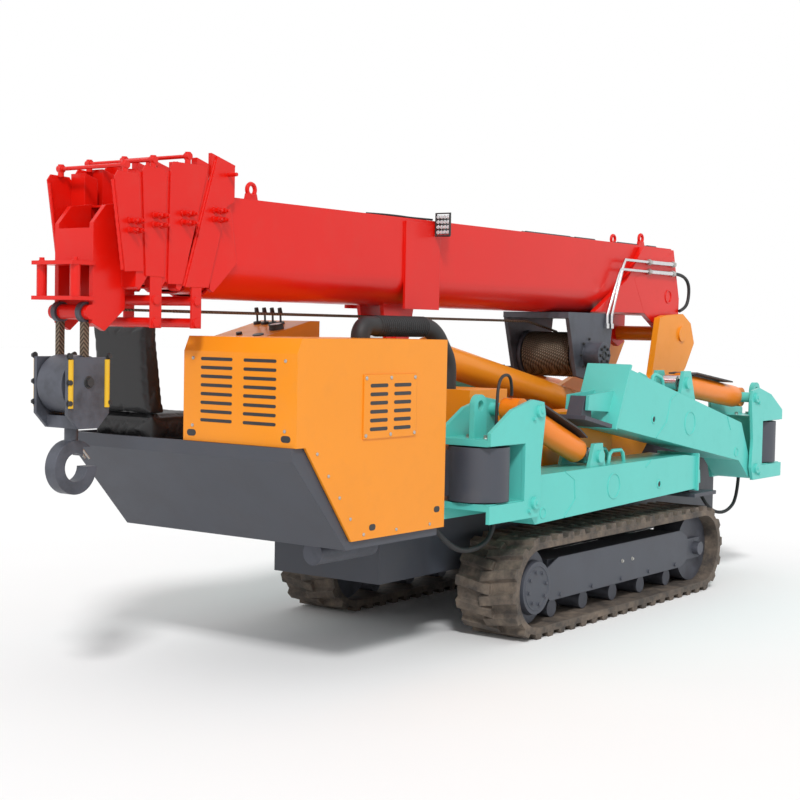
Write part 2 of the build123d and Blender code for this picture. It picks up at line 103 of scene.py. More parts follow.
class Finish:
    """Node tree of one surface finish, around a Principled BSDF."""

    def __init__(self, name, **constants):
        self.material = bpy.data.materials.new(name)
        self.material.use_nodes = True
        self.tree = self.material.node_tree
        self.shader = self.tree.nodes["Principled BSDF"]
        self.feed(**constants)

    def node(self, kind, settings=None, inputs=None, output=0):
        """Add a node, set it up, feed its sockets and return one output."""
        made = self.tree.nodes.new(kind)
        for name, value in (settings or {}).items():
            if name == "stops":
                for element, (place, shade) in zip(made.color_ramp.elements, value):
                    element.position = place
                    element.color = (shade, shade, shade, 1.0)
            else:
                setattr(made, name, value)
        for name, value in (inputs or {}).items():
            plug(self.tree, made.inputs[name], value)
        return Signal(self.tree, made.outputs[output])

    def place(self):
        """Coordinates fixed to the piece, in metres."""
        return self.node("ShaderNodeTexCoord", output="Object")

    def noise(self, scale, detail=3.0, roughness=0.5):
        """Cloudy pattern from 0 to 1, with its scale in cells a metre."""
        inputs = {"Vector": self.place(), "Scale": scale, "Detail": detail, "Roughness": roughness}
        return self.node("ShaderNodeTexNoise", inputs=inputs)

    def ramp(self, signal, low, high):
        """Stretch the part of a signal between low and high to the range 0 to 1."""
        stops = ((low, 0.0), (high, 1.0))
        return self.node("ShaderNodeValToRGB", {"stops": stops}, {"Fac": signal})

    def mix(self, factor, first, second):
        """Blend two colours."""
        return self.node("ShaderNodeMix", {"data_type": "RGBA"}, {0: factor, 6: first, 7: second}, 2)

    def soft_edge(self, radius):
        """Normal with its edges rounded by a radius."""
        return self.node("ShaderNodeBevel", {"samples": 4}, {"Radius": radius})

    def edge_mask(self, soft_normal):
        """1 on worn edges and 0 on flat faces."""
        flat_normal = self.node("ShaderNodeNewGeometry", output="Normal")
        inputs = {0: soft_normal, 1: flat_normal}
        facing = self.node("ShaderNodeVectorMath", {"operation": "DOT_PRODUCT"}, inputs, "Value")
        return self.ramp(1.0 - facing, 0.02, 0.25)

    def bump(self, height, strength, distance, normal=None):
        """Normal raised by a height signal."""
        inputs = {"Height": height, "Strength": strength, "Distance": distance}
        if normal is not None:
            inputs["Normal"] = normal
        return self.node("ShaderNodeBump", inputs=inputs)

    def feed(self, **signals):
        """Link or set the shader's sockets and return the material."""
        for name, signal in signals.items():
            title = name.replace("_", " ").title().replace("Ior", "IOR")
            plug(self.tree, self.shader.inputs[title], signal)
        return self.material


def shade(colour, factor):
    """Colour made lighter or darker, as RGBA."""
    return tuple(min(1.0, channel * factor) for channel in colour[:3]) + (1.0,)


def gloss_paint(name, colour, roughness=0.3, dirt=0.06):
    """Sprayed gloss paint with orange peel, thin dust and paler edges."""
    finish = Finish(name, coat_weight=0.1, coat_roughness=0.15, specular_ior_level=0.3)
    soft = finish.soft_edge(0.004)
    edge = finish.edge_mask(soft)
    cloud = finish.noise(2.2, 5.0)
    grime = finish.ramp(finish.noise(9.0, 8.0, 0.65), 0.5, 0.78)
    tone = finish.mix(cloud, shade(colour, 0.93), shade(colour, 1.05))
    dusty = finish.mix(grime * dirt, tone, (0.24, 0.2, 0.16, 1.0))
    worn = finish.mix(edge * 0.22, dusty, shade(colour, 1.45))
    peel = finish.noise(160.0, 2.0)
    return finish.feed(
        base_color=worn,
        roughness=roughness + grime * 0.18 + edge * 0.1,
        normal=finish.bump(peel, 0.045, 0.004, soft),
    )


def satin_paint(name, colour, roughness=0.5):
    """Darker satin paint with a fine texture, scuffs and dust."""
    finish = Finish(name)
    soft = finish.soft_edge(0.004)
    edge = finish.edge_mask(soft)
    dust = finish.ramp(finish.noise(5.0, 8.0, 0.7), 0.46, 0.82)
    tone = finish.mix(finish.noise(3.0, 4.0), shade(colour, 0.85), shade(colour, 1.2))
    dusty = finish.mix(dust * 0.14, tone, (0.2, 0.17, 0.14, 1.0))
    worn = finish.mix(edge * 0.3, dusty, shade(colour, 2.4))
    return finish.feed(
        base_color=worn,
        roughness=roughness + dust * 0.2,
        normal=finish.bump(finish.noise(220.0, 3.0), 0.08, 0.003, soft),
    )


def bare_steel(name, colour, roughness=0.22):
    """Bright steel with fine turning marks and smears of oil."""
    finish = Finish(name, metallic=1.0)
    smear = finish.noise(14.0, 5.0)
    marks = finish.node("ShaderNodeTexWave", {"bands_direction": "X"}, {
        "Vector": finish.place(), "Scale": 120.0, "Distortion": 3.0, "Detail": 2.0})
    return finish.feed(
        base_color=finish.mix(smear, shade(colour, 0.8), shade(colour, 1.05)),
        roughness=roughness + smear * 0.16,
        normal=finish.bump(marks, 0.04, 0.001, finish.soft_edge(0.002)),
    )


def cast_metal(name, colour, roughness=0.55):
    """Cast or forged metal with a sandy skin and greasy patches."""
    finish = Finish(name, metallic=0.35)
    soft = finish.soft_edge(0.004)
    grease = finish.ramp(finish.noise(11.0, 7.0, 0.6), 0.42, 0.7)
    tone = finish.mix(grease, shade(colour, 1.15), shade(colour, 0.6))
    worn = finish.mix(finish.edge_mask(soft) * 0.35, tone, shade(colour, 2.2))
    return finish.feed(
        base_color=worn,
        roughness=roughness - grease * 0.2,
        normal=finish.bump(finish.noise(260.0, 4.0), 0.16, 0.003, soft),
    )


def track_rubber(name, colour):
    """Scuffed track rubber with dried mud in its hollows."""
    finish = Finish(name)
    soft = finish.soft_edge(0.007)
    mud = finish.ramp(finish.noise(8.0, 9.0, 0.7), 0.4, 0.68)
    scuff = finish.edge_mask(soft)
    tone = finish.mix(mud, shade(colour, 0.7), (0.2, 0.155, 0.118, 1.0))
    return finish.feed(
        base_color=finish.mix(scuff * 0.4, tone, (0.19, 0.165, 0.145, 1.0)),
        roughness=0.72 + mud * 0.2,
        normal=finish.bump(finish.noise(90.0, 8.0, 0.7), 0.4, 0.006, soft),
    )


def soft_rubber(name, colour, roughness=0.5):
    """Hose rubber with a faint bloom."""
    finish = Finish(name)
    bloom = finish.noise(18.0, 6.0)
    return finish.feed(
        base_color=finish.mix(bloom, shade(colour, 0.8), shade(colour, 1.9)),
        roughness=roughness + bloom * 0.18,
        normal=finish.bump(finish.noise(300.0, 3.0), 0.12, 0.002),
    )


def grained_vinyl(name, colour):
    """Black seat vinyl with a pressed grain."""
    finish = Finish(name)
    cells = finish.node("ShaderNodeTexVoronoi", {"feature": "DISTANCE_TO_EDGE"}, {
        "Vector": finish.place(), "Scale": 260.0})
    wear = finish.noise(7.0, 5.0)
    return finish.feed(
        base_color=finish.mix(wear, shade(colour, 0.7), shade(colour, 1.6)),
        roughness=0.42 + wear * 0.2,
        normal=finish.bump(cells, 0.3, 0.004),
    )


def wire_rope(name):
    """Greased steel rope with strands laid round it."""
    finish = Finish(name, metallic=0.55)
    lay = finish.node("ShaderNodeTexWave", {"bands_direction": "DIAGONAL"}, {
        "Vector": finish.place(), "Scale": 34.0, "Distortion": 0.6, "Detail": 1.0})
    grease = finish.noise(30.0, 5.0)
    tone = finish.mix(lay, (0.035, 0.024, 0.016, 1.0), (0.27, 0.2, 0.14, 1.0))
    return finish.feed(
        base_color=finish.mix(grease * 0.45, tone, (0.07, 0.048, 0.03, 1.0)),
        roughness=0.42 + grease * 0.2,
        normal=finish.bump(lay, 0.55, 0.004),
    )


def zinc_plate(name):
    """Zinc-plated fastener steel with a mottled sheen."""
    finish = Finish(name, metallic=0.9)
    mottle = finish.noise(45.0, 4.0)
    return finish.feed(
        base_color=finish.mix(mottle, (0.36, 0.35, 0.33, 1.0), (0.6, 0.59, 0.56, 1.0)),
        roughness=0.32 + mottle * 0.2,
        normal=finish.bump(mottle, 0.1, 0.001, finish.soft_edge(0.0012)),
    )


def clear_lens(name):
    """Lamp glass with a pale, slightly ribbed face."""
    finish = Finish(name, transmission_weight=0.35, ior=1.46, coat_weight=0.6)
    ribs = finish.node("ShaderNodeTexWave", {"bands_direction": "Y"}, {
        "Vector": finish.place(), "Scale": 30.0})
    return finish.feed(
        base_color=finish.mix(ribs, (0.66, 0.68, 0.7, 1.0), (0.9, 0.92, 0.94, 1.0)),
        roughness=0.08 + ribs * 0.1,
        normal=finish.bump(ribs, 0.2, 0.002),
    )


def bridge(builder, first, second):
    """Faces between two closed rows of corners."""
    for index in range(len(first)):
        other = (index + 1) % len(first)
        builder.faces.new((first[index], first[other], second[other], second[index]))


def add_tube(builder, points, radius, sides=8):
    """Round bar through a few points, closed at both ends."""
    points = [Vector(point) for point in points]
    normal = (points[1] - points[0]).orthogonal().normalized()
    last = None
    for index, point in enumerate(points):
        run = points[min(index + 1, len(points) - 1)] - points[max(index - 1, 0)]
        run.normalize()
        normal = (normal - run * normal.dot(run)).normalized()
        across = run.cross(normal)
        ring = []
        for side in range(sides):
            angle = 2 * math.pi * side / sides
            spoke = normal * math.cos(angle) + across * math.sin(angle)
            ring.append(builder.verts.new(point + radius * spoke))
        if last is None:
            builder.faces.new(list(reversed(ring)))
        else:
            bridge(builder, last, ring)
        last = ring
    builder.faces.new(last)


def add_disc(builder, place, facing, radius, height, sides=20, taper=0.94):
    """Short round or many-sided boss that stands on a place."""
    turn = Vector(facing).to_track_quat("Z", "Y").to_matrix().to_4x4()
    middle = Matrix.Translation(Vector(place)) @ turn @ Matrix.Translation((0, 0, height / 2))
    bmesh.ops.create_cone(
        builder, cap_ends=True, segments=sides, radius1=radius, radius2=radius * taper, depth=height,
        matrix=middle)


def add_bolt(builder, place, facing, size, rise):
    """Bolt with its washer and six-sided head."""
    washer = rise * 0.22
    facing = Vector(facing)
    add_disc(builder, place, facing, size * 1.3, washer, 16)
    add_disc(builder, Vector(place) + facing * washer, facing, size, rise - washer, 6)


def add_screw(builder, place, facing, size):
    """Round-headed screw with a domed top."""
    rim = size * 0.35
    facing = Vector(facing)
    add_disc(builder, place, facing, size, rim, 16, 0.9)
    add_disc(builder, Vector(place) + facing * rim, facing, size * 0.9, size * 0.25, 16, 0.55)


def add_ring(builder, centre, facing, radius, thickness, segments=28, sides=8):
    """Round bead that lies on a face."""
    turn = Vector(facing).to_track_quat("Z", "Y").to_matrix()
    up = turn @ Vector((0, 0, 1))
    rows = []
    for step in range(segments):
        angle = 2 * math.pi * step / segments
        out = turn @ Vector((math.cos(angle), math.sin(angle), 0))
        row = []
        for side in range(sides):
            bend = 2 * math.pi * side / sides
            place = out * (radius + thickness * math.cos(bend)) + up * thickness * math.sin(bend)
            row.append(builder.verts.new(Vector(centre) + place))
        rows.append(row)
    for row, other in zip(rows, rows[1:] + rows[:1]):
        bridge(builder, row, other)


def add_weld(builder, start, end, radius, pitch=0.016):
    """Weld bead of overlapping scales between two places."""
    facets = 7
    start = Vector(start)
    run = Vector(end) - start
    count = max(3, int(run.length / pitch))
    points = [start + run * (step / count) for step in range(count + 1)]
    first = len(builder.verts)
    add_tube(builder, points, radius, facets)
    builder.verts.ensure_lookup_table()
    for step in range(1, count):
        swell = 1.16 if step % 2 else 0.88
        ring = first + facets * step
        for vert in builder.verts[ring:ring + facets]:
            vert.co = points[step] + (vert.co - points[step]) * swell


def add_plate(builder, outline, y_low, y_high):
    """Plate with an outline in X and Z, standing between two Y values."""
    near = [builder.verts.new((x, y_low, z)) for x, z in outline]
    far = [builder.verts.new((x, y_high, z)) for x, z in outline]
    builder.faces.new(near)
    builder.faces.new(list(reversed(far)))
    bridge(builder, near, far)


def add_shade_slot(builder, place, along, facing, length, width, rise=0.0012):
    """Thin round-ended plate standing proud of a face, which in a dark finish is the painted shade of an
    opening.
    """
    steps = 6
    radius = width / 2
    along, facing = Vector(along), Vector(facing)
    across = facing.cross(along)
    rim = []
    for end in (1, -1):
        for step in range(steps + 1):
            angle = math.pi * (step / steps - 0.5)
            reach_out = length / 2 - radius + radius * math.cos(angle)
            rim.append(Vector(place) + (along * reach_out + across * radius * math.sin(angle)) * end)
    low = [builder.verts.new(corner - facing * rise) for corner in rim]
    high = [builder.verts.new(corner + facing * rise) for corner in rim]
    builder.faces.new(high)
    bridge(builder, low, high)


def new_piece(name, builder, body, slot, finish=None):
    """Turn a built mesh into a piece that rides on a body, in its slot's finish or another."""
    mesh = bpy.data.meshes.new(name)
    bmesh.ops.recalc_face_normals(builder, faces=builder.faces)
    builder.to_mesh(mesh)
    builder.free()
    mesh.materials.append(finish or finishes[slot])
    mesh.shade_smooth()
    mesh.set_sharp_from_angle(angle=math.radians(38))
    piece = bpy.data.objects.new(name, mesh)
    bpy.context.scene.collection.objects.link(piece)
    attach(piece, body)
    return piece


def tint(node, finish, inside):
    """Give the faces of a CAD piece whose middle passes a test another finish."""
    mesh = nodes[node].data
    mesh.materials.append(finish)
    index = len(mesh.materials) - 1
    for face in mesh.polygons:
        if inside(face.center):
            face.material_index = index


def colour_property(name, description, default):
    return FloatVectorProperty(name=name, description=description, subtype="COLOR", default=default)


def angle_property(name, description, degrees):
    return FloatProperty(name=name, description=description, subtype="ANGLE", default=math.radians(degrees))


class CraneColours(bpy.types.PropertyGroup):
    """Paint and surface colours."""

    boom: colour_property("Boom", "Gloss red of the boom", (0.70, 0.008, 0.003))
    body: colour_property("Body", "Orange of the hood and covers", (0.86, 0.285, 0.012))
    outrigger: colour_property("Outrigger", "Teal of brackets and beams", (0.105, 0.56, 0.50))
    cylinder: colour_property("Cylinder", "Orange of the cylinders", (0.86, 0.22, 0.008))
    dark: colour_property("Dark grey", "Grey of tub and frames", (0.052, 0.057, 0.073))
    steel: colour_property("Steel", "Bright rods and pipes", (0.72, 0.72, 0.73))
    cast: colour_property("Cast grey", "Winch, hook and wheels", (0.085, 0.09, 0.11))
    rubber: colour_property("Track rubber", "Clean track rubber", (0.075, 0.062, 0.053))


class CraneStage(bpy.types.PropertyGroup):
    """Camera, floor and light."""

    camera_place: FloatVectorProperty(
        name="Camera", description="Where the camera stands", subtype="TRANSLATION", unit="LENGTH",
        default=(-6.864, -4.701, 1.567))
    camera_heading: angle_property("Heading", "Camera's turn about Z", -53.921)
    camera_pitch: angle_property("Pitch", "How far the camera looks down", 2.713)
    camera_roll: angle_property("Roll", "Camera's turn about its own axis", 1.107)
    focal_length: FloatProperty(
        name="Focal length", description="Lens in millimetres on a 36 mm sensor", default=68.93)
    floor_size: FloatProperty(
        name="Floor", description="Side of the pale floor", unit="LENGTH", default=120.0)
    key_strength: FloatProperty(name="Key light", description="Strength of the soft sun", default=1.9)
    sky_strength: FloatProperty(name="Sky light", description="Strength of the even light", default=0.72)


def crane_colours():
    return bpy.context.scene.crane_colours


def crane_stage():
    return bpy.context.scene.crane_stage


class CRANE_OT_paint_frame(bpy.types.Operator):
    """Give every CAD piece the finish of its material slot"""

    bl_idname = "crane.paint_frame"
    bl_label = "Paint the frame"

    def execute(self, context):
        colours = crane_colours()
        finishes.update({
            "boom_red": gloss_paint("boom red gloss", colours.boom),
            "body_orange": gloss_paint("body orange gloss", colours.body, 0.36),
            "outrigger_teal": gloss_paint("outrigger teal gloss", colours.outrigger, 0.32),
            "cylinder_orange": gloss_paint("cylinder orange gloss", colours.cylinder),
            "rod_steel": bare_steel("bright rod steel", colours.steel, 0.16),
            "dark_grey": satin_paint("dark grey satin", colours.dark),
            "machined_grey": cast_metal("cast grey metal", colours.cast),
            "track_rubber": track_rubber("dusty track rubber", colours.rubber),
            "hose_rubber": soft_rubber("hose rubber", (0.012, 0.012, 0.013)),
            "engine_alloy": cast_metal("engine alloy", (0.28, 0.28, 0.29), 0.45),
            "seat_vinyl": grained_vinyl("grained seat vinyl", (0.015, 0.015, 0.016)),
            "lamp_black": soft_rubber("lamp black", (0.02, 0.02, 0.021), 0.4),
            "zinc": zinc_plate("zinc-plated fasteners"),
        })
        for row in frame["record"]["subparts"]:
            mesh = nodes[row["node"]].data
            mesh.materials.clear()
            mesh.materials.append(finishes[row["material_slot"]])
        return {"FINISHED"}


# Boom head: each body that carries a pair of head plates, with X and Z places in metres.
# A leg of the rope's guide has its X, half its width and its top.
heads = {
    "boom": {
        "outer_y": 0.206,
        "outline": (
            (-2.040, 2.278), (-1.933, 2.247), (-1.933, 2.092), (-1.982, 2.067), (-2.088, 1.719),
            (-2.227, 1.717)),
        "bolts": (-2.035, 2.030),
        "rod": (-1.975, 2.205),
        "weld": ((-2.043, 2.262), (-2.225, 1.722)),
        "leg": (-2.159, 0.029, 1.735),
    },
    "section_2": {
        "outer_y": 0.2005,
        "outline": (
            (-2.315, 2.206), (-2.298, 2.231), (-2.112, 2.232), (-2.095, 2.214), (-2.240, 1.728),
            (-2.324, 1.727)),
        "bolts": (-2.220, 2.005),
        "rod": (-2.205, 2.262),
        "weld": ((-2.317, 2.190), (-2.325, 1.735)),
    },
    "section_4": {
        "outer_y": 0.2005,
        "outline": (
            (-2.475, 2.178), (-2.458, 2.202), (-2.352, 2.194), (-2.335, 2.174), (-2.345, 1.754),
            (-2.450, 1.755)),
        "bolts": (-2.385, 1.985),
        "rod": (-2.405, 2.228),
        "weld": ((-2.476, 2.160), (-2.452, 1.760)),
        "leg": (-2.392, 0.033, 1.765),
    },
    "section_5": {
        "outer_y": 0.2005,
        "outline": (
            (-2.626, 2.143), (-2.608, 2.167), (-2.508, 2.164), (-2.492, 2.144), (-2.464, 1.774),
            (-2.565, 1.769)),
        "bolts": (-2.520, 1.955),
        "rod": (-2.560, 2.193),
        "weld": ((-2.624, 2.130), (-2.567, 1.775)),
    },
}
head_inner_y = 0.1945
boom_top_z = 2.115

# Rope, winch and hook
rope_radius = 0.007
rope_z = 1.618
rope_stretch = 2.9
rope_exits = {
    "boom": -2.09, "section_2": -2.22, "section_3": -2.40, "section_4": -2.45, "section_5": -2.588}
winch_x = 1.180
winch_z = 1.425
drum_wrap = 0.128
hook_x = -2.660

# Outriggers, with places measured outwards from the post and up from the ground
outrigger_side = {"right": -1, "left": 1}
post_x = {"rear": -0.645, "front": 2.640}
reach = {"rear": 1, "front": -1}
post_y = 0.650
beam_face = 0.1195
beam_corners = {
    "rear": ((0.363, 0.597), (2.150, 0.640), (0.363, 0.842), (2.040, 0.850)),
    "front": ((0.479, 0.772), (2.130, 1.048), (0.454, 1.010), (1.985, 1.365)),
}
end_plates = {
    "rear": ((2.184, 0.630), (2.199, 0.630), (2.199, 0.852), (2.184, 0.852)),
    "front": ((2.134, 1.036), (2.148, 1.042), (1.990, 1.389), (1.976, 1.383)),
}
handles = {
    "rear": ((1.22, 0.842), (1.235, 0.895), (1.26, 0.912), (1.36, 0.912), (1.385, 0.895), (1.40, 0.842)),
    "front": ((1.42, 1.228), (1.43, 1.285), (1.455, 1.308), (1.53, 1.326), (1.555, 1.315), (1.57, 1.264)),
}
cylinder_guards = {
    "rear": ((0.42, 1.216), (0.86, 1.052), (0.94, 1.006), (0.936, 0.998), (0.856, 1.043), (0.416, 1.207)),
    "front": ((0.50, 1.270), (1.02, 1.332), (1.10, 1.328), (1.10, 1.319), (1.02, 1.323), (0.50, 1.261)),
}

# Tracks
track_y = 0.580
track_half_width = 0.175
track_middle_x = 0.755
track_middle_z = 0.260
track_half = 0.965
belt_inside = 0.200
belt_outside = 0.234
lug_tip = 0.260
straight = 2 * track_half
bend_length = math.pi * belt_outside
track_loop = 2 * (straight + bend_length)


def circle(centre, radius, count, start=0.0):
    """Places round a circle in X and Z."""
    for step in range(count):
        angle = start + 2 * math.pi * step / count
        yield centre[0] + radius * math.cos(angle), centre[1] + radius * math.sin(angle)


def add_cross_bar(builder, x, z, half_length, radius, facets=8):
    """Round bar along Y across the middle of the machine."""
    add_tube(builder, ((x, -half_length, z), (x, half_length, z)), radius, facets)


def add_plate_pair(builder, outline, inner_y, outer_y):
    """Two like plates at equal distances from the machine's middle."""
    add_plate(builder, outline, -outer_y, -inner_y)
    add_plate(builder, outline, inner_y, outer_y)


def at_outrigger(end, side, out, height, across):
    """Place on an outrigger, measured outwards from its post and sideways from its middle."""
    sign = outrigger_side[side]
    return Vector((post_x[end] + reach[end] * out, sign * (post_y + across), height))


def outrigger_outline(end, points):
    """Outline in X and Z of a plate on an outrigger."""
    return [(post_x[end] + reach[end] * out, height) for out, height in points]


def on_beam(end, side, along, up, across=beam_face):
    """Place on a beam's side, as shares of its length and height."""
    low_start, low_end, high_start, high_end = beam_corners[end]
    low = [a + (b - a) * along for a, b in zip(low_start, low_end)]
    high = [a + (b - a) * along for a, b in zip(high_start, high_end)]
    out, height = (a + (b - a) * up for a, b in zip(low, high))
    return at_outrigger(end, side, out, height, across)


def on_track(distance, radius):
    """Place in X and Z on the track's loop, at a distance round it and a radius from its middle line."""
    turn, rest = divmod(distance, straight + bend_length)
    way = -1 if int(turn) % 2 else 1
    if rest < straight:
        across = rest - track_half
        down = radius
    else:
        angle = (rest - straight) / belt_outside
        across = track_half + radius * math.sin(angle)
        down = radius * math.cos(angle)
    return track_middle_x + way * across, track_middle_z - way * down


def wind_drum():
    """One layer of turns on the drum."""
    turns = 23
    steps = 26
    half = 0.162
    points = []
    for step in range(turns * steps + 1):
        angle = 2 * math.pi * step / steps
        y = -half + 2 * half * step / (turns * steps)
        points.append((winch_x + drum_wrap * math.sin(angle), y, winch_z + drum_wrap * math.cos(angle)))
    coil = bmesh.new()
    add_tube(coil, points, rope_radius, 7)
    new_piece("rope_on_drum", coil, "drum", "machined_grey", finishes["rope"])


def lead_along_boom():
    """One run on each body, which slides inside the run before it."""
    level_x = 0.84
    nest = 0.0006
    last_drop = (-0.006, 1.60)
    start = [(winch_x, 0, winch_z + drum_wrap + rope_radius), (level_x, 0, rope_z)]
    for step, (body, exit_x) in enumerate(rope_exits.items()):
        points = start + [(exit_x, 0, rope_z)]
        if body == "section_5":
            points.append((exit_x + last_drop[0], 0, last_drop[1]))
        line = bmesh.new()
        add_tube(line, points, rope_radius - nest * step, 10)
        new_piece(f"rope_{body}", line, body, "machined_grey", finishes["rope"])
        start = [(exit_x + rope_stretch, 0, rope_z)]


def on_fall(place):
    """True on the hook block's two rope falls."""
    low, high = 1.446, 1.56
    return low < place.z < high


class CRANE_OT_reeve_rope(bpy.types.Operator):
    """Wind the rope on the drum and lead it along the boom to the head"""

    bl_idname = "crane.reeve_rope"
    bl_label = "Reeve the rope"

    def execute(self, context):
        finishes["rope"] = wire_rope("greased wire rope")
        wind_drum()
        lead_along_boom()
        tint("hook_block", finishes["rope"], on_fall)
        return {"FINISHED"}


def guard_rods(body, head):
    """Bar over the head, on two posts where the plates stop below it."""
    past_plate = 0.05 if body == "boom" else -0.012
    post_drop = 0.034
    x, z = head["rod"]
    half = head["outer_y"] + past_plate
    rods = bmesh.new()
    add_cross_bar(rods, x, z, half, 0.0085)
    if body != "boom":
        for sign in both_sides:
            add_disc(rods, (x, sign * half, z - post_drop), (0, 0, 1), 0.013, 0.052)
            add_disc(rods, (x, sign * (half - 0.012), z), (0, sign, 0), 0.016, 0.026)
    new_piece(f"guard_rods_{body}", rods, body, "boom_red")


def head_bolts(body, head):
    """Four wear-pad bolts on each side, each with its stud's end."""
    spread = 0.022
    rise = 0.03
    x, z = head["bolts"]
    bolts = bmesh.new()
    for sign in both_sides:
        for across, up in ((-spread, 0.018), (spread, 0.018), (-spread, -0.02), (spread, -0.02)):
            y = sign * head["outer_y"]
            add_bolt(bolts, (x + across, y, z + up), (0, sign, 0), 0.0115, rise)
            add_disc(bolts, (x + across, y + sign * rise, z + up), (0, sign, 0), 0.007, 0.014, 12)
    new_piece(f"head_bolts_{body}", bolts, body, "boom_red")


def head_cheeks(body, head):
    """Slanted side plates, with the rope guide's legs and rollers where there are any."""
    leg_inset = 0.0012
    leg_bottom = 1.545
    outer_y = head["outer_y"]
    cheeks = bmesh.new()
    add_plate_pair(cheeks, head["outline"], head_inner_y, outer_y)
    if "leg" in head:
        x, half, top = head["leg"]
        leg = ((x - half, top), (x + half, top), (x + half, leg_bottom), (x - half, leg_bottom))
        add_plate_pair(cheeks, leg, head_inner_y + leg_inset, outer_y - leg_inset)
        for height in (rope_z + 0.042, rope_z - 0.05):
            add_cross_bar(cheeks, x, height, outer_y + 0.006, 0.02, 16)
    new_piece(f"head_cheeks_{body}", cheeks, body, "boom_red")


def head_welds(body, head):
    """Bead down the front edge of each head plate."""
    (x_start, z_start), (x_end, z_end) = head["weld"]
    welds = bmesh.new()
    for sign in both_sides:
        y = sign * (head["outer_y"] - 0.014)
        add_weld(welds, (x_start, y, z_start), (x_end, y, z_end), 0.0075)
    new_piece(f"head_welds_{body}", welds, body, "boom_red")


def foot_cheeks():
    """Doubling plates at the boom's foot, with a raised ring on each."""
    inner_y, outer_y = 0.181, 0.2135
    outline = (
        (1.262, 1.684), (1.668, 1.893), (1.872, 2.104), (2.300, 2.104), (2.394, 1.790), (2.384, 1.502),
        (2.308, 1.473), (2.231, 1.502), (2.100, 1.592), (1.900, 1.688))
    foot = bmesh.new()
    add_plate_pair(foot, outline, inner_y, outer_y)
    for sign in both_sides:
        add_ring(foot, (2.235, sign * (outer_y + 0.001), 1.800), (0, sign, 0), 0.04, 0.005)
    new_piece("foot_cheeks", foot, "boom", "boom_red")


def boom_eyes():
    """Lifting eyes on the boom's top."""
    half_plate = 0.009
    foot, foot_z = 0.04, boom_top_z - 0.001
    top, top_z = 0.03, boom_top_z + 0.035
    eyes = bmesh.new()
    for x, y in ((-1.710, -0.100), (2.050, -0.100), (2.050, 0.100)):
        outline = ((x - foot, foot_z), (x + foot, foot_z), (x + top, top_z), (x - top, top_z))
        add_plate(eyes, outline, y - half_plate, y + half_plate)
        add_ring(eyes, (x, y, boom_top_z + 0.053), (0, 1, 0), 0.026, 0.010)
    new_piece("boom_eyes", eyes, "boom", "boom_red")


def nose_rollers():
    """Upright rollers between the nose guard's plates."""
    x = -2.735
    rollers = bmesh.new()
    for y in (-0.098, 0.098):
        add_tube(rollers, ((x, y, 1.664), (x, y, 1.792)), 0.021, 18)
        add_bolt(rollers, (x, y, 1.806), (0, 0, 1), 0.011, 0.014)
    new_piece("nose_rollers", rollers, "section_5", "boom_red")


def top_strips():
    """Cable strips along the boom's top."""
    z = boom_top_z + 0.006
    strips = bmesh.new()
    for low, high in ((0.62, 1.12), (1.18, 1.42), (1.72, 1.98), (2.12, 2.24)):
        for y in (-0.11, -0.085):
            add_tube(strips, ((low, y, z), (high, y, z)), 0.009)
    new_piece("top_strips", strips, "boom", "lamp_black")


def lamp():
    """Grid of lenses and a rim in the plane of the work lamp's face."""
    count = 4
    column_pitch = 0.02
    row_pitch = 0.026
    half_width = 0.043
    half_height = 0.057
    low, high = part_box("boom_lamp")
    x = low[0] - 0.001
    middle_y = -0.242
    middle_z = (low[2] + high[2]) / 2
    offsets = [step - (count - 1) / 2 for step in range(count)]
    lens = bmesh.new()
    for row in offsets:
        for column in offsets:
            place = (x, middle_y + column * column_pitch, middle_z + row * row_pitch)
            add_disc(lens, place, (-1, 0, 0), 0.0105, 0.006, 14, 0.7)
    new_piece("lamp_lens", lens, "boom", "lamp_black", clear_lens("lamp lens"))
    corners = [
        (x, middle_y + y * half_width, middle_z + z * half_height)
        for y, z in ((-1, -1), (1, -1), (1, 1), (-1, 1), (-1, -1))]
    rim = bmesh.new()
    add_tube(rim, corners, 0.006)
    new_piece("lamp_rim", rim, "boom", "lamp_black")


class CRANE_OT_dress_boom(bpy.types.Operator):
    """Add the head's plates, rods, bolts and welds, the foot's cheeks, eyes, rollers and lamp"""

    bl_idname = "crane.dress_boom"
    bl_label = "Dress the boom"

    def execute(self, context):
        for body, head in heads.items():
            guard_rods(body, head)
            head_bolts(body, head)
            head_cheeks(body, head)
            head_welds(body, head)
        foot_cheeks()
        boom_eyes()
        nose_rollers()
        top_strips()
        lamp()
        return {"FINISHED"}


def winch_bolts():
    """Bolt circles on the winch motor's end and on the frame's cheek."""
    centre = (winch_x, winch_z)
    count = 8
    rise = 0.012
    motor_end = -0.330
    cheek_face = -0.224
    bolts = bmesh.new()
    for x, z in circle(centre, 0.05, count):
        add_bolt(bolts, (x, motor_end, z), (0, -1, 0), 0.008, rise)
    for x, z in circle(centre, 0.094, count):
        add_bolt(bolts, (x, cheek_face, z), (0, -1, 0), 0.007, rise)
    add_ring(bolts, (winch_x, motor_end - 0.001, winch_z), (0, -1, 0), 0.022, 0.006)
    new_piece("winch_bolts", bolts, "boom", "machined_grey", finishes["lamp_black"])


